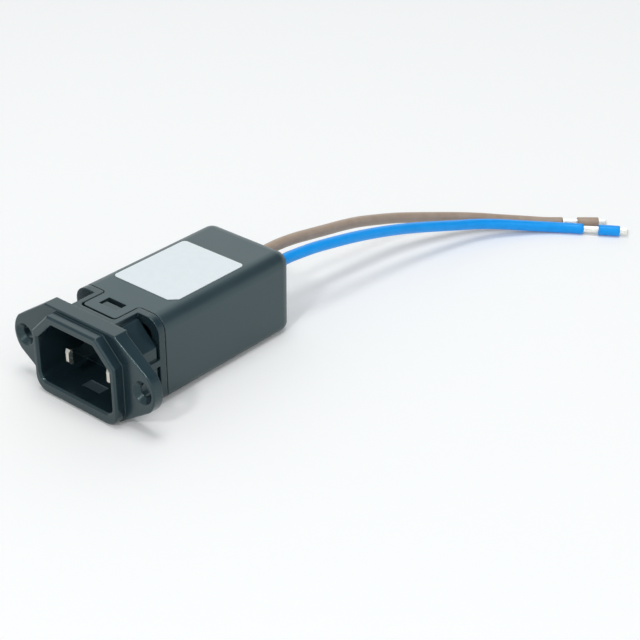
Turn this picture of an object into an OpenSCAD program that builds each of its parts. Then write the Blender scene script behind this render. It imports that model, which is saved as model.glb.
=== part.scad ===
// Two-pole mains inlet filter: a panel-mount inlet moulding with a push-fit rear case,
// the filter board inside it and two free leads.
// X runs to the right seen from the plug side, +Y to the rear, +Z up.
// The origin is the middle of the flange's front face, which seats on the panel.

/* [Flange] */
// Width over the two ears
flange_w = 47.6; // [46.6:0.1:54]
// How far the flange stands out above and below the bridges
flange_rise = 0.45; // [0.3:0.05:1]
// Length of the straight top and bottom edges
flange_flat_w = 23.5; // [20:0.1:26]
// Width over the corners where the slanted edges meet the ears
ear_corner_w = 43.8; // [43:0.1:45]
// Height of an ear at those corners
ear_corner_h = 9.4; // [8.4:0.1:11]
// Thickness in the middle
flange_t = 4; // [3.8:0.1:5]
// Width of the thick middle
flange_mid_w = 24; // [20:0.1:27]
// Thickness of the ears beside the thick middle
ear_root_t = 3.5; // [3.2:0.1:3.7]
// Thickness at the ends of the ears
ear_t = 2.8; // [2:0.1:3.2]
// Chamfer round the front edge
flange_chamfer = 0.25; // [0.1:0.05:0.6]
// Distance between the two screw holes
screw_pitch = 40; // [39:0.1:41]
// Diameter of a screw hole
screw_d = 3.4; // [2.6:0.1:4]
// Diameter of the countersink at the front face
countersink_d = 6; // [5:0.1:7.4]

/* [Inlet] */
// Width of the plug recess
recess_w = 24.5; // [23.5:0.1:25.5]
// Height of the plug recess
recess_h = 16.5; // [15.5:0.1:17.5]
// Leg of the chamfers at the recess's two top corners
recess_chamfer = 5.05; // [3.5:0.05:6.5]
// Radius of the recess's two bottom corners
recess_r = 2.2; // [1:0.1:3]
// Depth of the recess from the rim to its floor
recess_depth = 13.6; // [12.5:0.1:15]
// Lead-in bevel round the mouth
lead_in = 0.5; // [0.2:0.05:0.8]
// How far the collar stands out of the flange
collar_l = 2.7; // [1.5:0.1:4]
// Width from the recess to the outer edge of the rim's face, at the sides
rim_w = 1.35; // [1.1:0.05:1.6]
// Bevel round the outside of the collar
collar_bevel = 0.4; // [0.2:0.05:0.5]
// How far the flange stands out above the collar
flange_lip = 0.9; // [0.2:0.05:1.1]
// How far the flange stands out below the collar
flange_sill = 0.15; // [0.05:0.05:0.4]
// Side wall of the tub behind the flange
tub_wall = 1.1; // [0.8:0.05:1.3]
// Thickness of the pad behind the recess's floor, which holds the blades
pad_t = 2; // [1.2:0.1:2.6]
// How far the tub's wall runs on past the recess's floor
tub_skirt = 0.5; // [0.3:0.1:0.8]
// Width of the shallow mark moulded in the recess's lower wall
mark_w = 6; // [3:0.1:8]
// Length of the mark
mark_l = 3; // [2:0.1:5]
// Distance from the rim to the mark
mark_set = 4.7; // [2:0.1:7]

/* [Blades] */
// Distance between the two contact blades
blade_pitch = 14; // [13:0.1:15]
// Thickness of a blade
blade_t = 2; // [1.6:0.1:2.2]
// Height of a blade
blade_h = 4; // [3:0.1:4.6]
// How far the blades sit below the middle of the recess
blade_drop = 2; // [1.5:0.1:2.4]
// How far the blade tips lie behind the rim
blade_set = 4.3; // [3:0.1:6]
// Bevel on each side of a blade's tip
blade_bevel = 0.5; // [0.2:0.05:0.6]

/* [Bridge and frame] */
// Height over the two bridges, shared by the rear case
body_h = 22; // [21.4:0.1:26]
// Width of the bridge plates above and below the tub
bridge_w = 14.6; // [14.2:0.1:17]
// Thickness of a bridge plate
bridge_t = 1.3; // [1:0.05:1.5]
// Clear gap between the flange and the rear frame
window_l = 7.75; // [7.3:0.05:9]
// Thickness of the rear frame along Y
frame_t = 1.9; // [1.4:0.1:2.6]
// Height of the side ribs
rib_h = 1.7; // [1:0.1:3]
// Length of the spigot that plugs into the rear case
spigot_l = 2.4; // [1.6:0.1:2.6]
// Wall of the spigot
spigot_wall = 1; // [0.7:0.1:1.3]
// Thickness of the web that closes the spigot round the blades
web_t = 1; // [0.6:0.1:1.4]

/* [Rear case] */
// Width of the rear case and the rear frame
case_w = 27.8; // [27.6:0.1:31]
// Length of the rear case behind the seam
case_l = 44.5; // [44.4:0.1:60]
// Wall thickness
case_wall = 1.3; // [1:0.05:1.5]
// Radius of the two long top edges, of the back wall's top edge and of its two upright ones
case_top_r = 3.7; // [2.6:0.1:3.8]
// Radius of the bottom edges
case_base_r = 2.2; // [1.6:0.1:2.5]
// Visible gap at the seam
seam_gap = 0.25; // [0.1:0.05:0.3]

/* [Latches] */
// Width of a latch tongue
tongue_w = 11; // [9:0.1:11.3]
// Length of a tongue in front of the seam
tongue_l = 7.6; // [7:0.1:7.8]
// Thickness of a tongue
tongue_t = 1.2; // [0.9:0.05:1.25]
// Gap on each side of a tongue
tongue_gap = 0.35; // [0.1:0.05:0.45]
// Gap in front of a tongue
tongue_nose_gap = 0.6; // [0.3:0.05:0.7]
// Radius of a tongue's corners and of its root
tongue_r = 1.1; // [0.6:0.1:1.4]
// Width of the window in a tongue
latch_w = 5.9; // [4.5:0.1:7]
// Length of the window
latch_l = 3.3; // [3.1:0.1:3.5]
// Length of the snap nose's flat top
nose_l = 1.9; // [1:0.1:1.9]

/* [Label] */
// Width of the rating label
label_w = 20.4; // [14:0.1:20.4]
// Length of the rating label
label_l = 24.4; // [16:0.1:30]
// Distance from the seam to the label
label_set = 6.5; // [3:0.1:12]
// Thickness of the label
label_t = 0.12; // [0.08:0.01:0.25]
// Cut across the label's front right corner
label_cut = 2; // [1:0.1:4]

/* [Board] */
// Thickness of the circuit board
board_t = 1.6; // [1:0.1:2]
// Length of the circuit board
board_l = 39.2; // [39:0.1:39.4]
// Height of the two rails that carry the board
rail_h = 1.5; // [1:0.1:2]
// Width of a rail
rail_w = 1.4; // [0.9:0.1:1.5]
// Diameter of the legs of the parts on the board
leg_d = 0.8; // [0.5:0.05:1]

/* [Choke] */
// Outer diameter of the ring core
core_d = 18; // [16:0.1:18.2]
// Inner diameter of the ring core
core_bore = 10; // [9:0.1:10.5]
// Height of the ring core
core_h = 8; // [5:0.1:10]
// Diameter of the winding wire
wire_d = 0.8; // [0.5:0.05:0.85]
// Turns in each winding
winding_turns = 8; // [4:1:9]

/* [Capacitors] */
// Width of a capacitor
cap_w = 17.5; // [14:0.1:18]
// Thickness of a capacitor
cap_t = 5; // [4:0.1:5.3]
// Height of a capacitor
cap_h = 11.5; // [8:0.1:12]
// Distance between a capacitor's legs
cap_pitch = 15; // [10:0.1:15.5]

/* [Leads] */
// Outer diameter of a lead
lead_d = 3; // [2.4:0.1:3.3]
// Diameter of the bare strands
strand_d = 1.8; // [1:0.1:2]
// Radial clearance of a lead in the case's back wall
lead_gap = 0.15; // [0.05:0.05:0.3]
// Length of strands bared behind the cut insulation
bare_l = 4.3; // [2:0.1:6]
// Length of the insulation slug left on the strands
slug_l = 6; // [4:0.1:8]
// Length of strands beyond the slug
tip_l = 2.4; // [1:0.1:4]

/* [Hidden] */
$fn = 48;
overlap = 0.2;   // how far joined solids run into each other
fit = 0.1;       // clearance of a piece in its seat
through = 1;     // how far a cut runs past the faces it opens

// Height of the flange
flange_h = body_h + 2 * flange_rise;

// Places along Y
rim_y = -collar_l;
floor_y = rim_y + recess_depth;
pad_y = floor_y + pad_t;
frame_y = flange_t + window_l;
seam_y = frame_y + frame_t;
case_y = seam_y + seam_gap;
back_y = case_y + case_l;
inner_back_y = back_y - case_wall;
tongue_y = case_y - tongue_l;

// The case's inner faces
inner_w = case_w - 2 * case_wall;
inner_h = body_h - 2 * case_wall;
inner_base = -inner_h / 2;

// The tub, whose top and bottom carry the bridges, and what rises from it
tub_top = body_h / 2 - bridge_t;
tub_end = floor_y + tub_skirt;
nose_sink = 0.25;       // how far a nose stays below the bridge's face
nose_set = 0.7;         // distance from the front of the tongue's window, as centred, to the nose
nose_tail = 0.3;        // height and length left at the end of a nose's slope
nose_side_gap = 0.55;
nose_front_gap = 0.05;
nose_top = body_h / 2 - nose_sink;
nose_y = tongue_y + (tongue_l - latch_l) / 2 + nose_set;

// The board
board_gap = 0.4;        // clearance of the board behind the spigot and, over the fits, across the case
board_w = inner_w - 4 * fit - board_gap;
board_y = seam_y + spigot_l + board_gap;
board_z = inner_base + rail_h;
board_top = board_z + board_t;
leg_play = 0.3;         // how much wider a hole in the board is than its leg
leg_hole_d = leg_d + leg_play;
leg_foot = 0.8;         // how far a leg stands out below the board
leg_root = 1;           // how far a leg runs up into its part

// One turn of a winding about the core's section, with the core held clear of the board
turn_gap = 0.15;
turn_half_w = (core_d - core_bore) / 4 + wire_d / 2 + turn_gap;
turn_half_h = core_h / 2 + wire_d / 2 + turn_gap;
turn_mean_r = (core_d + core_bore) / 4;
turn_steps = 24;
winding_span = 132;
winding_r = turn_mean_r + turn_half_w + wire_d / 2;
turn_foot = 0.5;        // height of the core over the wire that runs under it
core_z = board_top + wire_d + turn_foot;
divider_t = 1;

// The parts in a row along the board
row_gap = 0.25;
tail_t = 1;
tail_set = 0.8;         // distance from the board's front edge to the blades' tails
tail_y = board_y + tail_set;
cap_y1 = tail_y + tail_t + 2 * row_gap;
choke_y = cap_y1 + cap_t + row_gap + winding_r;
cap_y2 = choke_y + winding_r + row_gap;
resistor_d = 2.4;
resistor_l = 6.2;
resistor_gap = 0.4;     // gap between the capacitor and the resistor beside it
resistor_reach = 1;     // how far the resistor's legs stand off its ends

// Leads: route points from the board out through the back wall to the end of the insulation
line_route = [[3, 51.1, -6.2], [3, 51.1, -3], [3, 51.1, 0.5], [3, 51.6, 2.8], [3, 52.9, 4.7], [3, 54.8, 6],
  [3, 57.1, 6.5], [3, 59, 6.5], [3, 62, 6.5], [3.1, 66, 6.4], [3.4, 71, 6], [3.9, 77, 5.2], [4.3, 83.5, 4.2],
  [4.5, 90, 3.1], [4.7, 96.5, 1.7], [5.5, 103.5, 0], [6.6, 110, -1.6], [8.5, 116.4, -3.2],
  [10.9, 122.8, -4.75],
  [13.8, 129.2, -6.2], [17.4, 135, -7.4], [21.8, 140.4, -8.5], [26.3, 145.4, -9.35], [30.8, 149.6, -9.9],
  [34.6, 152.8, -9.9]];
neutral_route = [[9.2, 51.1, -6.2], [9.2, 51.1, -3], [9.2, 51.1, 0], [9.2, 51.6, 2.3], [9.2, 52.9, 4.2],
  [9.2, 54.8, 5.5], [9.2, 57.1, 6], [9.2, 59, 6], [9.2, 62, 6], [9.5, 66, 5.8], [10, 71.5, 5.4],
  [10.7, 77.5, 4.7],
  [11.3, 84, 3.7], [11.9, 90.5, 2.5], [12.8, 97.5, 1.1], [13.8, 104.5, -0.5], [15, 111, -2.1],
  [16.5, 117.4, -3.7], [18.2, 123.8, -5.25], [20.4, 130.2, -6.6], [23.6, 136.1, -7.8], [27.5, 141.2, -8.8],
  [31.9, 146, -9.55], [36.6, 150, -9.9], [41.4, 153.1, -9.9]];
lead_sides = 8;

// ---------- outlines ----------

// Rectangle about the origin with radius rt at its top corners and rb at its bottom ones
module rounded_box_2d(w, h, rt, rb) {
  polygon([[-w / 2, rb - h / 2], [rb - w / 2, -h / 2], [w / 2 - rb, -h / 2], [w / 2, rb - h / 2],
    [w / 2, h / 2 - rt], [w / 2 - rt, h / 2], [rt - w / 2, h / 2], [-w / 2, h / 2 - rt]]);
  for (s = [-1, 1]) {
    translate([s * (w / 2 - rt), h / 2 - rt]) circle(rt);
    translate([s * (w / 2 - rb), rb - h / 2]) circle(rb);
  }
}

// Outline of the plug recess: chamfered top corners, round bottom corners. It is grown by side at the
// sides, by up at the top and the chamfers, and by down at the bottom
module inlet_2d(side, up, down, sides = 48) {
  w = recess_w / 2 + side;
  top = recess_h / 2 + up;
  base = -recess_h / 2 - down;
  c = recess_chamfer + side + up - sqrt(2) * up;
  r = recess_r + side;
  polygon([[-w, base + r], [r - w, base], [w - r, base], [w, base + r],
    [w, top - c], [w - c, top], [c - w, top], [-w, top - c]]);
  for (s = [-1, 1]) translate([s * (w - r), base + r]) circle(r, $fn = sides);
}

// Outline of the flange, drawn in by s: straight top, slanted shoulders and round ear ends
module flange_2d(s) {
  run = (ear_corner_w - flange_flat_w) / 2;
  rise = (flange_h - ear_corner_h) / 2;
  slant = [rise, run] / norm([rise, run]);
  reach = slant * [flange_flat_w / 2, flange_h / 2] - s;
  top_x = (reach - slant[1] * (flange_h / 2 - s)) / slant[0];
  point_x = reach / slant[0];
  bulge = (flange_w - ear_corner_w) / 2;
  end_r = (pow(ear_corner_h / 2, 2) + pow(bulge, 2)) / (2 * bulge);
  intersection() {
    polygon([[point_x, 0], [top_x, flange_h / 2 - s], [-top_x, flange_h / 2 - s],
      [-point_x, 0], [-top_x, s - flange_h / 2], [top_x, s - flange_h / 2]]);
    union() {
      square([ear_corner_w - 2 * s, flange_h], center = true);
      for (side = [-1, 1]) translate([side * (flange_w / 2 - end_r), 0]) circle(end_r - s);
    }
  }
}

// Plan of a latch tongue, grown by side and front, with radii at its corners and its root
module tongue_2d(side, front) {
  r = tongue_r;
  hw = tongue_w / 2 + side;
  len = tongue_l + front + overlap;
  translate([0, case_y + overlap - len / 2]) rounded_box_2d(2 * hw, len, 0.01, r);
  for (s = [-1, 1]) scale([s, 1]) translate([hw, case_y]) difference() {
    translate([-overlap, -r]) square(r + overlap);
    translate([r, -r]) circle(r);
    translate([r, -r]) square(2 * r);
  }
}

// Stands a drawing of the XZ plane up, from y0 to y1
module along_y(y0, y1) {
  translate([0, y1, 0]) rotate([90, 0, 0]) linear_extrude(y1 - y0) children();
}

// Draws children above and, mirrored, below
module top_and_bottom() {
  children();
  mirror([0, 0, 1]) children();
}

// ---------- inlet moulding ----------

module flange_plate() {
  intersection() {
    hull() {
      along_y(0, 0.01) flange_2d(flange_chamfer);
      along_y(flange_chamfer, flange_t) flange_2d(0);
    }
    translate([0, 0, -flange_h]) linear_extrude(2 * flange_h)
      polygon([[-flange_w, 0], [flange_w, 0], [flange_w / 2, ear_t], [flange_mid_w / 2, ear_root_t],
        [flange_mid_w / 2, flange_t], [-flange_mid_w / 2, flange_t], [-flange_mid_w / 2, ear_root_t],
        [-flange_w / 2, ear_t]]);
  }
}

// Collar and tub: one hexagonal sleeve through the flange, bevelled at the front
module sleeve() {
  side = rim_w + collar_bevel;
  up = (flange_h - recess_h) / 2 - flange_lip;
  down = (flange_h - recess_h) / 2 - flange_sill;
  tub_up = tub_top - recess_h / 2;
  hull() {
    along_y(rim_y, rim_y + 0.01) inlet_2d(rim_w, up - collar_bevel, down - collar_bevel, 24);
    along_y(rim_y + collar_bevel, flange_t / 2) inlet_2d(side, up, down, 24);
  }
  along_y(flange_t / 2, tub_end) inlet_2d(tub_wall, tub_up, tub_up);
  along_y(floor_y, pad_y) inlet_2d(-lead_in, -lead_in, -lead_in);
}

module recess() {
  along_y(rim_y + lead_in - overlap, floor_y) inlet_2d(0, 0, 0);
  hull() {
    along_y(rim_y - 0.01, rim_y) inlet_2d(lead_in, lead_in, lead_in, 24);
    along_y(rim_y + lead_in, rim_y + lead_in + 0.01) inlet_2d(0, 0, 0, 24);
  }
}

// Plate that joins the flange to the rear frame over the tub
module bridge() {
  translate([-bridge_w / 2, flange_t - overlap, body_h / 2 - bridge_t])
    cube([bridge_w, window_l + 2 * overlap, bridge_t]);
}

// Pocket for the case's tongue, through the bridge plate and the front of the rear frame
module tongue_pocket() {
  translate([0, 0, body_h / 2 - bridge_t]) linear_extrude(bridge_t + overlap) intersection() {
    tongue_2d(tongue_gap, tongue_nose_gap);
    translate([-case_w, 0]) square([2 * case_w, seam_y]);
  }
}

module snap_nose() {
  back = min(nose_y + nose_l, tub_end - nose_tail);
  translate([nose_side_gap - latch_w / 2, 0, 0]) rotate([90, 0, 90])
    linear_extrude(latch_w - nose_side_gap - fit)
      polygon([[nose_y, tub_top - overlap], [nose_y, nose_top], [back, nose_top],
        [tub_end, tub_top + nose_tail], [tub_end, tub_top - overlap]]);
}

// Frame that the case seats against, with the closed spigot that plugs into the case
module rear_frame() {
  difference() {
    union() {
      along_y(frame_y, seam_y) rounded_box_2d(case_w, body_h, case_top_r, case_base_r);
      along_y(seam_y - overlap, seam_y + spigot_l)
        rounded_box_2d(inner_w - 2 * fit, inner_h - 2 * fit, case_top_r - case_wall, case_base_r - case_wall);
    }
    along_y(frame_y - overlap, seam_y + spigot_l - web_t)
      rounded_box_2d(inner_w - 2 * fit - 2 * spigot_wall, inner_h - 2 * fit - 2 * spigot_wall,
        case_top_r - case_wall, case_base_r - case_wall);
  }
}

module inlet_housing() color([0.09, 0.1, 0.11]) {
  top_and_bottom() snap_nose();
  difference() {
    union() {
      flange_plate();
      sleeve();
      top_and_bottom() bridge();
      rear_frame();
      for (s = [-1, 1]) scale([s, 1, 1]) translate([recess_w / 2, ear_t, -rib_h / 2])
        cube([(case_w - recess_w) / 2, frame_y - ear_t + overlap, rib_h]);
    }
    recess();
    mould_mark();
    top_and_bottom() tongue_pocket();
    for (s = [-1, 1]) translate([s * screw_pitch / 2, 0, 0]) rotate([-90, 0, 0]) {
      translate([0, 0, -through]) cylinder(d = screw_d, h = flange_t + 2 * through);
      translate([0, 0, -0.01]) cylinder(d1 = countersink_d, d2 = screw_d, h = (countersink_d - screw_d) / 2);
      translate([0, 0, -through]) cylinder(d = countersink_d, h = through);
    }
    for (s = [-1, 1]) translate([s * blade_pitch / 2, 0, -blade_drop]) {
      translate([0, (floor_y + pad_y) / 2, 0]) cube([blade_t, 2 * pad_t, blade_h], center = true);
      translate([0, seam_y + spigot_l, 0])
        cube([blade_t + 2 * fit, 3 * web_t, blade_h + 2 * fit], center = true);
    }
  }
}

// Shallow rectangular mark in the lower wall of the recess
module mould_mark() {
  depth = 0.2;
  translate([-mark_w / 2, rim_y + mark_set, -recess_h / 2 - depth]) cube([mark_w, mark_l, 2 * depth]);
}

// ---------- contact blades ----------

// Flat blade with a bevelled tip, and a narrow tail that drops through the board
module blade(x) color([0.86, 0.86, 0.83]) translate([x, 0, -blade_drop]) {
  tip_y = rim_y + blade_set;
  b = blade_bevel;
  rise = 1.5 * b;
  intersection() {
    translate([0, 0, -blade_h / 2]) linear_extrude(blade_h)
      polygon([[-blade_t / 2, tip_y + 2 * b], [b - blade_t / 2, tip_y], [blade_t / 2 - b, tip_y],
        [blade_t / 2, tip_y + 2 * b], [blade_t / 2, tail_y + tail_t], [-blade_t / 2, tail_y + tail_t]]);
    translate([-blade_t / 2, 0, 0]) rotate([90, 0, 90]) linear_extrude(blade_t)
      polygon([[tip_y, rise - blade_h / 2], [tip_y + b, -blade_h / 2], [tail_y + tail_t, -blade_h / 2],
        [tail_y + tail_t, blade_h / 2], [tip_y + b, blade_h / 2], [tip_y, blade_h / 2 - rise]]);
  }
  translate([-blade_t / 2, tail_y, board_z - leg_foot + blade_drop])
    cube([blade_t, tail_t, -blade_drop - board_z + leg_foot]);
}

module line_blade() blade(blade_pitch / 2);
module neutral_blade() blade(-blade_pitch / 2);

// ---------- rear case ----------

// Section across the case's rounded back edges, from the inner end of the top one outwards
module back_edge_2d(h, top_r, base_r) intersection() {
  union() {
    polygon([[0, -h], [top_r - base_r, -h], [top_r, base_r - h], [top_r, h - top_r], [0, h]]);
    translate([top_r - base_r, base_r - h]) circle(base_r);
    translate([0, h - top_r]) circle(top_r);
  }
  translate([0, -h]) square([top_r, 2 * h]);
}

// Block with the case's outline drawn in by inset, from y0 to the rounded back
module case_block(inset, y0) {
  h = body_h / 2 - inset;
  top_r = case_top_r - inset;
  base_r = case_base_r - inset;
  side_x = case_w / 2 - inset - top_r;
  side_y = back_y - inset - top_r;
  along_y(y0, side_y) rounded_box_2d(case_w - 2 * inset, 2 * h, top_r, base_r);
  translate([-side_x, side_y, 0]) rotate([90, 0, 90]) linear_extrude(2 * side_x)
    back_edge_2d(h, top_r, base_r);
  for (s = [-1, 1]) scale([s, 1, 1]) translate([side_x, side_y, 0]) intersection() {
    rotate_extrude() back_edge_2d(h, top_r, base_r);
    translate([0, 0, -body_h]) cube([2 * top_r, 2 * top_r, 2 * body_h]);
  }
}

module rear_case() color([0.09, 0.1, 0.11]) {
  difference() {
    union() {
      case_block(0, case_y);
      top_and_bottom() translate([0, 0, body_h / 2 - tongue_t]) linear_extrude(tongue_t) tongue_2d(0, 0);
    }
    case_cavity();
    top_and_bottom() translate([-latch_w / 2, nose_y - nose_front_gap, body_h / 2 - tongue_t - through])
      cube([latch_w, latch_l, tongue_t + 2 * through]);
    lead_holes();
  }
  for (s = [-1, 1]) translate([s * (inner_w / 2 - rail_w / 2 + overlap / 2), 0, 0])
    translate([-(rail_w + overlap) / 2, board_y, inner_base - overlap])
      cube([rail_w + overlap, board_l, rail_h + overlap]);
}

module case_cavity() {
  case_block(case_wall, case_y - overlap);
}

module lead_holes() {
  for (p = [line_route[8], neutral_route[8]]) translate([p[0], inner_back_y - through, p[2]])
    rotate([-90, 0, 0]) cylinder(d = lead_d + 2 * lead_gap, h = case_wall + 2 * through);
}

// ---------- label ----------

module rating_label() color([0.9, 0.92, 0.93])
  translate([0, case_y + label_set, body_h / 2]) linear_extrude(label_t) {
    r = 1.2;
    w = label_w / 2;
    polygon([[-w, r], [r - w, 0], [w - label_cut, 0], [w, label_cut], [w, label_l - r], [w - r, label_l],
      [r - w, label_l], [-w, label_l - r]]);
    translate([r - w, r]) circle(r);
    for (s = [-1, 1]) translate([s * (w - r), label_l - r]) circle(r);
  }

// ---------- board and the parts on it ----------

// Middle of the legs of each part: [x, y, hole diameter]
function leg_places() = concat(
  [for (y = [cap_y1, cap_y2], s = [-1, 1]) [s * cap_pitch / 2, y + cap_t / 2]],
  [for (y = [resistor_y(), resistor_y() + resistor_l + 2 * resistor_reach]) [resistor_x(), y]],
  [for (a = winding_ends(), s = [-1, 1]) [s * a[0], choke_y + a[1]]]);

function resistor_x() = cap_w / 2 + resistor_d / 2 + resistor_gap;
function resistor_y() = cap_y1 - resistor_reach;

module circuit_board() color([0.16, 0.36, 0.22]) difference() {
  translate([-board_w / 2, board_y, board_z]) cube([board_w, board_l, board_t]);
  for (p = leg_places()) translate([p[0], p[1], board_z - through])
    cylinder(d = leg_hole_d, h = board_t + 2 * through);
  for (s = [-1, 1]) translate([s * blade_pitch / 2, tail_y + tail_t / 2, board_z])
    cube([blade_t + 2 * fit, tail_t + 2 * fit, 3 * board_t], center = true);
  for (p = [line_route[0], neutral_route[0]]) translate([p[0], p[1], board_z - through])
    cylinder(d = strand_d + 2 * fit, h = board_t + 2 * through);
}

// A leg from height z down through the board at x, y
module leg(x, y, z) {
  translate([x, y, board_z - leg_foot]) cylinder(d = leg_d, h = z - board_z + leg_foot);
}

// Box capacitor standing on the board on two legs
module capacitor(y) color([0.85, 0.65, 0.15]) {
  r = 0.5;
  translate([0, y + cap_t / 2, board_top + fit]) linear_extrude(cap_h) rounded_box_2d(cap_w, cap_t, r, r);
  for (s = [-1, 1]) leg(s * cap_pitch / 2, y + cap_t / 2, board_top + leg_root);
}

module inlet_capacitor() capacitor(cap_y1);
module output_capacitor() capacitor(cap_y2);

// Resistor lying along Y beside the inlet capacitor
module bleed_resistor() color([0.75, 0.68, 0.5]) {
  x = resistor_x();
  y0 = resistor_y();
  z = board_top + resistor_d / 2 + fit;
  far = y0 + resistor_l + 2 * resistor_reach;
  translate([x, y0 + resistor_reach, z]) rotate([-90, 0, 0]) cylinder(d = resistor_d, h = resistor_l);
  translate([x, y0, z]) rotate([-90, 0, 0]) cylinder(d = 0.8 * leg_d, h = far - y0);
  for (y = [y0, far]) leg(x, y, z + leg_d / 2);
}

// ---------- common-mode choke ----------

module choke_core() color([0.22, 0.24, 0.24]) translate([0, choke_y, core_z]) rotate_extrude() {
  r = 0.8;
  translate([turn_mean_r, core_h / 2]) rounded_box_2d((core_d - core_bore) / 2, core_h, r, r);
}

// Plate that keeps the two windings apart in the core's bore
module choke_divider() color([0.75, 0.72, 0.62])
  translate([-divider_t / 2, choke_y - core_bore / 2 + fit, core_z])
    cube([divider_t, core_bore - 2 * fit, core_h]);

// Rounded square: a point at angle a on a turn of half width 1 and half height 1
function turn_shape(a) = let (p = 0.35, c = cos(a), s = sin(a))
  [sign(c) * pow(abs(c), p), sign(s) * pow(abs(s), p)];

// Point of the winding after t of its turns: a helix about the core's section, laid on the ring
function winding_point(t) = let (a = 360 * t, shape = turn_shape(a),
    around = winding_span * (t / winding_turns - 0.5), r = turn_mean_r + turn_half_w * shape[0])
  [r * cos(around), r * sin(around), core_z + core_h / 2 + turn_half_h * shape[1]];

// Where the winding's two ends drop to the board, from the choke's middle
function winding_steps() = winding_turns * turn_steps - 5;
function winding_ends() = [for (i = [0, winding_steps()])
  let (p = winding_point(i / turn_steps)) [p[0], p[1]]];

function winding_path() = let (ends = winding_ends(), foot = board_z - leg_foot)
  [[ends[0][0], ends[0][1], foot], for (i = [0:winding_steps()]) winding_point(i / turn_steps),
    [ends[1][0], ends[1][1], foot]];

module winding() translate([0, choke_y, 0])
  tube(winding_path(), [for (p = winding_path()) [-p[1], p[0], 0]], wire_d, 6);

module line_winding() color([0.72, 0.4, 0.2]) winding();
module neutral_winding() color([0.72, 0.4, 0.2]) mirror([1, 0, 0]) winding();

// ---------- leads ----------

function unit(v) = v / norm(v);
function tangent(path, i) = unit(path[min(i + 1, len(path) - 1)] - path[max(i - 1, 0)]);

// Ring of points about path[i], square to the path there
function ring(path, across, i, d, sides) =
  let (t = tangent(path, i), u = unit(cross(t, across[i])), v = cross(u, t))
  [for (k = [0:sides - 1]) let (a = 360 * (k + 0.5) / sides) path[i] + d / 2 * (cos(a) * u + sin(a) * v)];

// Solid of diameter d swept along path; across is a direction at each point that the path crosses
module tube(path, across, d, sides) {
  n = len(path);
  points = [for (i = [0:n - 1]) each ring(path, across, i, d, sides)];
  walls = [for (i = [0:n - 2], k = [0:sides - 1]) let (j = (k + 1) % sides)
    [i * sides + k, i * sides + j, (i + 1) * sides + j, (i + 1) * sides + k]];
  ends = [[for (k = [sides - 1:-1:0]) k], [for (k = [0:sides - 1]) (n - 1) * sides + k]];
  polyhedron(points, concat(walls, ends));
}

// Bared inner end of a lead, which runs from the insulation down through the board
module inner_end(p) color([0.8, 0.8, 0.78])
  translate([p[0], p[1], board_z - leg_foot]) cylinder(d = strand_d, h = p[2] - board_z + leg_foot);

module line_inner_end() inner_end(line_route[0]);
module neutral_inner_end() inner_end(neutral_route[0]);

module lead(route) tube(route, [for (p = route) [1, 0, 0]], lead_d, lead_sides);

module line_lead() color([0.5, 0.42, 0.36]) lead(line_route);
module neutral_lead() color([0.1, 0.5, 0.9]) lead(neutral_route);

// Puts children, which lie along +Z, on the end of a route
module at_end(route) {
  last = route[len(route) - 1];
  t = unit(last - route[len(route) - 2]);
  translate([last[0], last[1], last[2]]) rotate([0, 90, atan2(t[1], t[0])]) children();
}

module strands(route) color([0.8, 0.8, 0.78])
  at_end(route) cylinder(d = strand_d, h = bare_l + slug_l + tip_l);

module slug(route) at_end(route) translate([0, 0, bare_l]) difference() {
  cylinder(d = lead_d, h = slug_l);
  translate([0, 0, -through]) cylinder(d = strand_d + fit, h = slug_l + 2 * through);
}

module line_strands() strands(line_route);
module neutral_strands() strands(neutral_route);
module line_slug() color([0.5, 0.42, 0.36]) slug(line_route);
module neutral_slug() color([0.1, 0.5, 0.9]) slug(neutral_route);

inlet_housing();
line_blade();
neutral_blade();
rear_case();
rating_label();
circuit_board();
choke_core();
line_winding();
neutral_winding();
choke_divider();
inlet_capacitor();
output_capacitor();
bleed_resistor();
line_inner_end();
neutral_inner_end();
line_lead();
neutral_lead();
line_strands();
neutral_strands();
line_slug();
neutral_slug();
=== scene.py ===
import math
from types import SimpleNamespace
import bpy
import numpy as np
from mathutils import Matrix, Vector


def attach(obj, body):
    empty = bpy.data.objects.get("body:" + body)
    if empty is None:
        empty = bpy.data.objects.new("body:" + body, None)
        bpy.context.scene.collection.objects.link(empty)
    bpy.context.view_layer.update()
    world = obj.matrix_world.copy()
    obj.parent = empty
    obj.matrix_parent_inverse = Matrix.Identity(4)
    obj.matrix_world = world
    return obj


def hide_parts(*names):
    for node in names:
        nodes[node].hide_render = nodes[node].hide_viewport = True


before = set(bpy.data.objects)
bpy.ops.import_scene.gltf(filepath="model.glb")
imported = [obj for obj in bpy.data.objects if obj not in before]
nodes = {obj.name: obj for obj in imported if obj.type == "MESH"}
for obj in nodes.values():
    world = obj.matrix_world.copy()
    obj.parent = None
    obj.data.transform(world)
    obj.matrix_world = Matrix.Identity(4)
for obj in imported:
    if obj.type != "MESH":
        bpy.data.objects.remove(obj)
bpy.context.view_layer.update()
scene = bpy.context.scene

# ---------------------------------------------------------------- camera
# A long lens to the right of the plug side and above it, which looks down by about 30 degrees.
# It is level but for a hair of roll.
eye = Vector((0.23658, -0.1962, 0.18631))
target = Vector((0.02334, 0.0579, -0.00514))
roll = math.radians(0.35)
camera = bpy.data.objects.new("camera", bpy.data.cameras.new("camera"))
scene.collection.objects.link(camera)
scene.camera = camera
camera.data.lens = 86.3
camera.data.clip_start = 0.02
camera.data.clip_end = 20
aim = (target - eye).to_track_quat("-Z", "Y").to_matrix().to_4x4()
camera.matrix_world = Matrix.Translation(eye) @ aim @ Matrix.Rotation(roll, 4, "Z")

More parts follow.
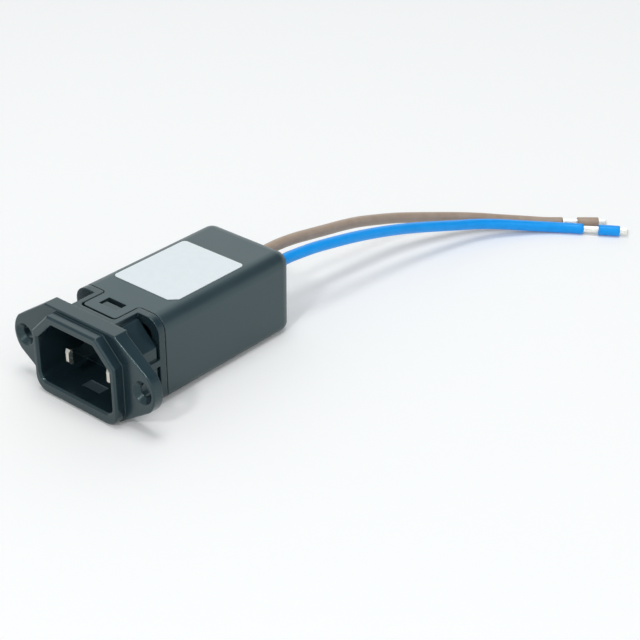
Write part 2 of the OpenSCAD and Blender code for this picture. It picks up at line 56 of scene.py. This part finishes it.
# ---------------------------------------------------------------- the two leads
# Flexible single cores in smooth extruded insulation, brown for the line and blue for the neutral.
# Each is soldered into the board, turns out through its hole in the case's back wall, sinks to the
# table in a long bow and is cut off square.
lead_r = 0.0015
lead_sides = 28
ring_step = 0.0006      # distance between a lead's rings
cut_edge = 0.00008      # how far the skin draws in where it is cut
brown_route = np.array([
    [3, 51.1, -6.2], [3, 51.1, -3], [3, 51.1, 0.5], [3, 51.6, 2.8], [3, 52.9, 4.7], [3, 54.8, 6],
    [3, 57.1, 6.5], [3, 59, 6.5], [3, 62, 6.5], [3.1, 66, 6.4], [3.4, 71, 6], [3.9, 77, 5.2],
    [4.3, 83.5, 4.2], [4.5, 90, 3.1], [4.7, 96.5, 1.7], [5.5, 103.5, 0], [6.6, 110, -1.6],
    [8.5, 116.4, -3.2], [10.9, 122.8, -4.75], [13.8, 129.2, -6.2], [17.4, 135, -7.4],
    [21.8, 140.4, -8.5], [26.3, 145.4, -9.35], [30.8, 149.6, -9.9], [34.6, 152.8, -9.9],
]) / 1000
blue_route = np.array([
    [9.2, 51.1, -6.2], [9.2, 51.1, -3], [9.2, 51.1, 0], [9.2, 51.6, 2.3], [9.2, 52.9, 4.2],
    [9.2, 54.8, 5.5], [9.2, 57.1, 6], [9.2, 59, 6], [9.2, 62, 6], [9.5, 66, 5.8], [10, 71.5, 5.4],
    [10.7, 77.5, 4.7], [11.3, 84, 3.7], [11.9, 90.5, 2.5], [12.8, 97.5, 1.1], [13.8, 104.5, -0.5],
    [15, 111, -2.1], [16.5, 117.4, -3.7], [18.2, 123.8, -5.25], [20.4, 130.2, -6.6],
    [23.6, 136.1, -7.8], [27.5, 141.2, -8.8], [31.9, 146, -9.55], [36.6, 150, -9.9],
    [41.4, 153.1, -9.9],
]) / 1000


def smooth_line(points, step):
    """Points about every step metres along a smooth line through the given ones.

    A knot grows along the points by the square root of each distance. Between two points the line
    is the three straight runs through them and their neighbours, blended in pairs by the knot, and
    those two blends blended once more. A mirrored point stands in beyond each end.
    """
    p = np.vstack([2 * points[0] - points[1], points, 2 * points[-1] - points[-2]])
    gap = np.linalg.norm(np.diff(p, axis=0), axis=1)
    knot = np.concatenate([[0], np.cumsum(np.sqrt(gap))])
    count = np.maximum(2, (gap[1:-1] / step).astype(int))
    span = np.repeat(np.arange(len(count)), count)
    share = (np.arange(count.sum()) - (np.cumsum(count) - count)[span]) / count[span]
    here = (knot[span + 1] + share * (knot[span + 2] - knot[span + 1]))[:, None]
    at = [knot[span + k][:, None] for k in range(4)]

    def blend(first, second, start, end):
        return first + (second - first) * (here - start) / (end - start)

    runs = [blend(p[span + k], p[span + k + 1], at[k], at[k + 1]) for k in range(3)]
    pairs = [blend(runs[k], runs[k + 1], at[k], at[k + 2]) for k in range(2)]
    return np.vstack([blend(pairs[0], pairs[1], at[1], at[2]), points[-1]])


def unit(vectors):
    """The same directions, each with a length of 1."""
    return vectors / np.linalg.norm(vectors, axis=-1, keepdims=True)


def rings(line, radii, sides, along=None):
    """Rings of points about a line, or about each of several, as [..., ring, side, xyz].

    A ring is its point of the line plus radius times (cos a times u plus sin a times v). u is square
    to the line's direction and to X, v is square to both, and so the rings don't twist. The
    direction is along, or the slope from one point to the next.
    """
    t = unit(np.gradient(line, axis=-2)) if along is None else along
    u = unit(np.cross(t, [1.0, 0.0, 0.0]))
    v = np.cross(t, u)
    a = np.linspace(0, 2 * np.pi, sides, endpoint=False)[:, None]
    r = np.broadcast_to(radii, line.shape[:-1])[..., None, None]
    return line[..., None, :] + r * (np.cos(a) * u[..., None, :] + np.sin(a) * v[..., None, :])


def new_piece(name, grid, material, closed=False):
    """A smooth piece over rings of points, [..., ring, side, xyz], that rides with the part.

    A face joins two neighbours on a ring to the same two on the next. A closed shape also joins its
    last ring to its first; any other has a flat face across each end.
    """
    number = np.arange(grid[..., 0].size).reshape(grid.shape[:-1])
    beside = np.roll(number, -1, axis=-1)
    beyond = np.roll(number, -1, axis=-2)
    opposite = np.roll(beside, -1, axis=-2)
    walls = np.stack([number, beside, opposite, beyond], axis=-1)
    if closed:
        faces = walls.reshape(-1, 4).tolist()
    else:
        ends = np.stack([number[..., 0, ::-1], number[..., -1, :]]).reshape(-1, grid.shape[-2])
        faces = walls[..., :-1, :, :].reshape(-1, 4).tolist() + ends.tolist()
    mesh = bpy.data.meshes.new(name)
    mesh.from_pydata(grid.reshape(-1, 3).tolist(), [], faces)
    mesh.validate()
    mesh.polygons.foreach_set("use_smooth", np.ones(len(mesh.polygons), bool))
    mesh.materials.append(material)
    piece = bpy.data.objects.new(name, mesh)
    scene.collection.objects.link(piece)
    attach(piece, "root")
    return piece


def node_result(tree, kind, *inputs, **named):
    """The output of a new node.

    An input is a value or another node's output, and they fill the node's sockets in their order.
    A name with a capital is a socket too, and one without is a setting of the node.
    """
    node = tree.nodes.new(kind)
    for name, value in named.items():
        if name[0].islower():
            setattr(node, name, value)
    filled = list(zip([socket for socket in node.inputs if socket.enabled], inputs))
    filled += [(node.inputs[name], value) for name, value in named.items() if name[0].isupper()]
    for socket, value in filled:
        if isinstance(value, bpy.types.NodeSocket):
            tree.links.new(value, socket)
        else:
            socket.default_value = value
    return next(output for output in node.outputs if output.enabled)


def noise(tree, scale, detail=4):
    """Noise with scale features in a metre of the part."""
    place = tree.nodes.new("ShaderNodeTexCoord").outputs["Object"]
    return node_result(tree, "ShaderNodeTexNoise", place, Scale=scale, Detail=detail)


def finish(
    name, mottle, colours, roughness, grain=None, soft_edge=0, metallic=0, ior=1.5, gloss=(1, 1, 1)
):
    """A material with a slow mottling and, if one is given, a fine grain.

    The mottling is noise with mottle features a metre. The middle of its range, 0.3 to 0.7, is
    spread from the first colour to the second and from the first roughness to the second. The grain
    is a second noise, given by its features a metre, height in metres, strength and detail. It lifts
    the surface, over edges that look rounded by soft_edge metres. The gloss has its own colour.
    """
    made = bpy.data.materials.new(name)
    made.use_nodes = True
    tree = made.node_tree
    shader = tree.nodes["Principled BSDF"]
    shader.inputs["Metallic"].default_value = metallic
    shader.inputs["IOR"].default_value = ior
    shader.inputs["Specular Tint"].default_value = (*gloss, 1)
    tone = noise(tree, mottle)
    spread = node_result(tree, "ShaderNodeMapRange", tone, 0.3, 0.7, 0, 1)
    first, second = [(*colour, 1) for colour in colours]
    colour = node_result(tree, "ShaderNodeMix", spread, first, second, data_type="RGBA")
    tree.links.new(colour, shader.inputs["Base Color"])
    dullness = node_result(tree, "ShaderNodeMapRange", tone, 0.3, 0.7, *roughness)
    tree.links.new(dullness, shader.inputs["Roughness"])
    if grain:
        scale, height, strength, detail = grain
        relief = {"Strength": strength, "Distance": height, "Height": noise(tree, scale, detail)}
        if soft_edge:
            relief["Normal"] = node_result(tree, "ShaderNodeBevel", Radius=soft_edge, samples=8)
        tree.links.new(node_result(tree, "ShaderNodeBump", **relief), shader.inputs["Normal"])
    return made


brown = finish(
    "brown_insulation", mottle=350, colours=((0.36, 0.265, 0.195), (0.41, 0.31, 0.235)),
    roughness=(0.36, 0.46), grain=(2500, 0.00001, 0.15, 4))
blue = finish(
    "blue_insulation", mottle=350, colours=((0.003, 0.3, 0.84), (0.006, 0.33, 0.9)),
    roughness=(0.3, 0.38), grain=(2500, 0.00001, 0.15, 4), gloss=(0.45, 0.85, 1))
leads = (
    SimpleNamespace(colour="brown", pole="line", route=brown_route, insulation=brown),
    SimpleNamespace(colour="blue", pole="neutral", route=blue_route, insulation=blue),
)
for lead in leads:
    lead.line = smooth_line(lead.route, ring_step)
    lead.end_way = unit(lead.route[-1] - lead.route[-2])
    radii = np.full(len(lead.line), lead_r)
    radii[-1] -= cut_edge
    lead.piece = new_piece(lead.colour + "_lead", rings(lead.line, radii, lead_sides), lead.insulation)
    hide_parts(lead.pole + "_lead")

# ---------------------------------------------------------------- bared strands
# Nineteen tinned copper wires in each lead: one in the middle, six round it and twelve round those,
# twisted together. They are bare beyond the insulation but for the slug, and are snipped unevenly.
# Inside the case the same strands end in the solder of the board.
bare = 0.0043
slug_length = 0.006
tip = 0.0024
wire_r = 0.000178
wire_sides = 8
wire_points = 40
wires_in_layer = np.array([1, 6, 12])
lay = 0.016             # length of one full turn of the strands
looseness = 1.02        # how much wider a layer is than wires that touch
layer_turn = 0.26       # angle from one layer's first wire to the next layer's, in radians
snip = 0.0002           # a wire is cut shorter by none, one or two of these


def twisted_wires(start, along, length):
    """Middle lines of the wires, as [wire, point, xyz].

    A wire runs along the axis, and goes round it by a full turn per lay at the radius of its layer,
    starting at its own share of the circle.
    """
    layer = np.repeat(np.arange(len(wires_in_layer)), wires_in_layer)
    wire = np.arange(len(layer)) - (np.cumsum(wires_in_layer) - wires_in_layer)[layer]
    cut = snip * ((7 * wire + layer) % 3)
    s = np.linspace(0, 1, wire_points) * (length - cut)[:, None]
    a = 2 * np.pi * ((wire / wires_in_layer[layer])[:, None] + s / lay) + layer_turn * layer[:, None]
    r = 2 * wire_r * looseness * layer[:, None, None]
    up = np.array([0.0, 0.0, 1.0])
    side = np.cross(up, along)
    return start + s[..., None] * along + r * (np.cos(a)[..., None] * side + np.sin(a)[..., None] * up)


def dress(node, material):
    """Gives a CAD node its material."""
    node.data.materials.clear()
    node.data.materials.append(material)


tinned = finish(
    "tinned_wire", mottle=1500, colours=((0.88, 0.87, 0.82), (0.97, 0.96, 0.92)),
    roughness=(0.4, 0.52), metallic=1)
for lead in leads:
    wires = twisted_wires(lead.line[-1], lead.end_way, bare + slug_length + tip)
    lead.strands = new_piece(lead.colour + "_strands", rings(wires, wire_r, wire_sides), tinned)
    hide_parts(lead.pole + "_strands")
    lead.inner_end = nodes[lead.pole + "_inner_end"]
    dress(lead.inner_end, tinned)

# ---------------------------------------------------------------- insulation slugs
# The last piece of each lead's own insulation, cut round and pulled a little way off, but left on
# the strands so that they don't fray before they are used: a plain tube with two cut edges. With it
# the lead is complete.
slug_sides = 36
slug_bore = 0.00098
edge_place = np.array([0, 0.00008, 0.0004])     # from an end of the slug inwards
edge_drop = np.array([0.0001, 0.00002, 0])      # below the full radius at those places
slug_places = np.concatenate([edge_place, slug_length - edge_place[::-1], [slug_length, 0]])
slug_radii = np.concatenate([lead_r - edge_drop, lead_r - edge_drop[::-1], [slug_bore, slug_bore]])
for lead in leads:
    axis = lead.line[-1] + (bare + slug_places)[:, None] * lead.end_way
    slug_rings = rings(axis, slug_radii, slug_sides, lead.end_way)
    slug = new_piece(lead.colour + "_slug", slug_rings, lead.insulation, closed=True)
    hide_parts(lead.pole + "_slug")

# ---------------------------------------------------------------- inlet moulding
# Flange, collar, plug recess, bridges and rear frame in one injection moulding of black plastic,
# glossy on its show faces and soft at every edge. A paler rectangle on the recess's lower wall is
# painted light: a patch of light painted into the plastic's colour there.
light_patch_middle = (0, 0.0035, -0.00835)
light_patch_half = (0.00302, 0.00152, 0.00013)
light_patch_colour = (0.068, 0.1, 0.118, 1)
black = finish(
    "black_moulding", mottle=120, colours=((0.0105, 0.023, 0.03), (0.0135, 0.028, 0.036)),
    roughness=(0.2, 0.27), grain=(3000, 0.000003, 0.1, 2), soft_edge=0.0004,
    ior=1.55, gloss=(0.74, 0.98, 1))


def in_box(tree, middle, half):
    """1 inside a box of the part's space and 0 outside it.

    The way from the box's middle is measured in halves of the box along each axis, and a point lies
    inside where the largest of the three is under 1.
    """
    place = tree.nodes.new("ShaderNodeTexCoord").outputs["Object"]
    away = node_result(tree, "ShaderNodeVectorMath", place, middle, operation="SUBTRACT")
    in_halves = node_result(tree, "ShaderNodeVectorMath", away, half, operation="DIVIDE")
    size = node_result(tree, "ShaderNodeVectorMath", in_halves, operation="ABSOLUTE")
    split = tree.nodes.new("ShaderNodeSeparateXYZ")
    tree.links.new(size, split.inputs[0])
    x, y, z = split.outputs
    across = node_result(tree, "ShaderNodeMath", x, y, operation="MAXIMUM")
    largest = node_result(tree, "ShaderNodeMath", across, z, operation="MAXIMUM")
    return node_result(tree, "ShaderNodeMath", largest, 1, operation="LESS_THAN")


tree = black.node_tree
base_colour = tree.nodes["Principled BSDF"].inputs["Base Color"]
plain = base_colour.links[0].from_socket
# Painted light: a paler rectangle of colour on the recess's lower wall stands in for light there.
in_light_patch = in_box(tree, light_patch_middle, light_patch_half)
with_light_patch = node_result(tree, "ShaderNodeMix", in_light_patch, plain, light_patch_colour, data_type="RGBA")
tree.links.new(with_light_patch, base_colour)
dress(nodes["inlet_housing"], black)

# ---------------------------------------------------------------- rear case
# A deep box of the same black plastic with a coarser, duller grain. It is pushed over the inlet's
# spigot until the windows of its two tongues catch on the noses of the inlet.
case_black = finish(
    "black_case", mottle=90, colours=((0.0145, 0.025, 0.031), (0.0185, 0.031, 0.038)),
    roughness=(0.3, 0.38), grain=(2600, 0.000006, 0.25, 2), soft_edge=0.00025,
    ior=1.68, gloss=(0.7, 0.97, 1))
dress(nodes["rear_case"], case_black)

# ---------------------------------------------------------------- contact blades
# Two flat blades stamped from brass and plated bright, with bevelled tips. They are pushed through
# the recess's floor, and their tails drop through the board and are soldered there.
plated = finish(
    "plated_blade", mottle=900, colours=((0.62, 0.6, 0.54), (0.7, 0.68, 0.62)),
    roughness=(0.1, 0.17), grain=(500, 0.00001, 0.1, 4), soft_edge=0.00008, metallic=1)
for name in ("line_blade", "neutral_blade"):
    dress(nodes[name], plated)

# ---------------------------------------------------------------- rating label
# A bare label of thin matt film, pale and slightly cool, with three round corners and one cut
# across. Its own adhesive holds it flat on the top of the case.
film = finish(
    "label_film", mottle=500, colours=((0.735, 0.79, 0.815), (0.765, 0.82, 0.845)),
    roughness=(0.45, 0.55), grain=(1500, 0.00001, 0.3, 4))
dress(nodes["rating_label"], film)

# ---------------------------------------------------------------- circuit board
# The filter's board of green glass-fibre laminate, cut to fit the case. It rests on the case's two
# rails and carries every part inside.


def dress_inside(name, colours, roughness, metallic=0):
    """Gives a piece inside the case a material of its own, all with the same mottling and grain."""
    made = finish(name, 600, colours, roughness, grain=(3000, 0.00001, 0.3, 4), metallic=metallic)
    dress(nodes[name], made)


dress_inside("circuit_board", colours=((0.03, 0.13, 0.06), (0.04, 0.17, 0.075)), roughness=(0.35, 0.45))

# ---------------------------------------------------------------- choke
# Two coils of enamelled copper wire, wound on either side of a pressed and sintered ferrite ring.
# A plate of fibre board in the ring's bore keeps them apart, and their ends are soldered.
dress_inside("choke_core", colours=((0.02, 0.022, 0.022), (0.03, 0.032, 0.032)), roughness=(0.5, 0.65))
copper = ((0.5, 0.17, 0.05), (0.62, 0.24, 0.08))
for name in ("line_winding", "neutral_winding"):
    dress_inside(name, colours=copper, roughness=(0.25, 0.35), metallic=1)
dress_inside("choke_divider", colours=((0.5, 0.46, 0.34), (0.56, 0.52, 0.4)), roughness=(0.5, 0.6))

# ---------------------------------------------------------------- capacitors
# Two film capacitors, each cast in a yellow plastic box and stood on two soldered legs. One lies
# across the line before the choke and one after it.
for name in ("inlet_capacitor", "output_capacitor"):
    dress_inside(name, colours=((0.62, 0.38, 0.03), (0.7, 0.44, 0.04)), roughness=(0.3, 0.4))

# ---------------------------------------------------------------- bleed resistor
# A small resistor in beige lacquer, soldered by its legs beside the first capacitor, which it
# empties when the plug is pulled.
dress_inside("bleed_resistor", colours=((0.4, 0.32, 0.18), (0.46, 0.38, 0.22)), roughness=(0.35, 0.45))

# ---------------------------------------------------------------- table
# A matt white sheet that the part lies on. Wherever it stands for the background it glows a little,
# and more so far off, where the lamps don't reach, so that it fades into the white behind it.
table_z = -0.01147      # a hair under the lowest points of the part
table_half = 3
glow_near = 0.065
glow_far = 0.36
near_end = 0.4          # distance from the part up to which the table glows least
far_start = 1.6         # distance from which it glows most


def background_rays(tree):
    """1 for a ray that shows the background, straight, in a gloss or through glass, and 0 for any
    other: the largest of the three marks that a ray can carry."""
    path = tree.nodes.new("ShaderNodeLightPath").outputs
    straight, gloss, glass = [path[f"Is {kind} Ray"] for kind in ("Camera", "Glossy", "Transmission")]
    shown = node_result(tree, "ShaderNodeMath", straight, gloss, operation="MAXIMUM")
    return node_result(tree, "ShaderNodeMath", shown, glass, operation="MAXIMUM")


table = bpy.data.objects.new("table", bpy.data.meshes.new("table"))
signs = ((-1, -1), (1, -1), (1, 1), (-1, 1))
corners = [(x * table_half, y * table_half, table_z) for x, y in signs]
table.data.from_pydata(corners, [], [(0, 1, 2, 3)])
scene.collection.objects.link(table)
white = bpy.data.materials.new("white_table")
white.use_nodes = True
tree = white.node_tree
shader = tree.nodes["Principled BSDF"]
shader.inputs["Base Color"].default_value = (0.925, 0.925, 0.92, 1)
shader.inputs["Roughness"].default_value = 0.7
shader.inputs["IOR"].default_value = 1.4
shader.inputs["Emission Color"].default_value = (1, 0.97, 0.96, 1)
place = tree.nodes.new("ShaderNodeTexCoord").outputs["Object"]
away = node_result(tree, "ShaderNodeVectorMath", place, operation="LENGTH")
level = node_result(tree, "ShaderNodeMapRange", away, near_end, far_start, glow_near, glow_far)
glow = node_result(tree, "ShaderNodeMath", level, background_rays(tree), operation="MULTIPLY")
tree.links.new(glow, shader.inputs["Emission Strength"])
table.data.materials.append(white)

# ---------------------------------------------------------------- surroundings
# A pale cloth tent round the table, which lights the part evenly. Three patches of it show in the
# part's gloss: a bright one behind on the left, a dark one behind on the right and a grey one in
# front on the left. Looked at directly, the tent is a plain white.
tent_colour = (0.62, 0.64, 0.65, 1)
plain_colour = (0.62, 0.635, 0.63, 1)
strength_as_light = 0.92
strength_as_background = 1.5
patches = (     # direction, cosines of the angles at the outer and the inner edge, colour
    ((-0.56, 0.66, 0.5), 0.84, 0.95, (0.8, 0.84, 0.84, 1)),
    ((0.42, 0.66, 0.62), 0.8, 0.95, (0.15, 0.19, 0.21, 1)),
    ((-0.56, -0.5, 0.66), 0.8, 0.93, (0.4, 0.42, 0.43, 1)),
)
tent = bpy.data.worlds.new("tent")
scene.world = tent
tent.use_nodes = True
tree = tent.node_tree
background = tree.nodes["Background"]
place = tree.nodes.new("ShaderNodeTexCoord").outputs["Generated"]
colour = tent_colour
for direction, outer, inner, patch_colour in patches:
    toward = tuple(Vector(direction).normalized())
    facing = node_result(tree, "ShaderNodeVectorMath", place, toward, operation="DOT_PRODUCT")
    within = node_result(tree, "ShaderNodeMapRange", facing, outer, inner, 0, 1)
    colour = node_result(tree, "ShaderNodeMix", within, colour, patch_colour, data_type="RGBA")
straight = tree.nodes.new("ShaderNodeLightPath").outputs["Is Camera Ray"]
colour = node_result(tree, "ShaderNodeMix", straight, colour, plain_colour, data_type="RGBA")
tree.links.new(colour, background.inputs["Color"])
strength = node_result(
    tree, "ShaderNodeMapRange", background_rays(tree), 0, 1, strength_as_light, strength_as_background)
tree.links.new(strength, background.inputs["Strength"])

# ---------------------------------------------------------------- lamps
# Three square lamps: a small one in front whose gleam runs along the flange's slanted edge, a soft
# one from the right for the case's side, and a broad one overhead that throws the contact shadow.
lit_place = Vector((0.01, 0.04, 0))
for name, place, width, watts in (
    ("key_light", (0.25, -0.86, 0.79), 0.12, 2.9),
    ("side_light", (0.9, 0.1, 0.75), 0.4, 0.9),
    ("top_light", (0, 0.03, 1.2), 0.5, 4.6),
):
    lamp = bpy.data.objects.new(name, bpy.data.lights.new(name, "AREA"))
    lamp.data.shape = "SQUARE"
    lamp.data.size = width
    lamp.data.energy = watts
    lamp.location = place
    lamp.rotation_mode = "QUATERNION"
    lamp.rotation_quaternion = (lit_place - Vector(place)).to_track_quat("-Z", "Y")
    scene.collection.objects.link(lamp)

# ---------------------------------------------------------------- picture
# Colours are shown plainly, as they are written.
scene.view_settings.view_transform = "Standard"
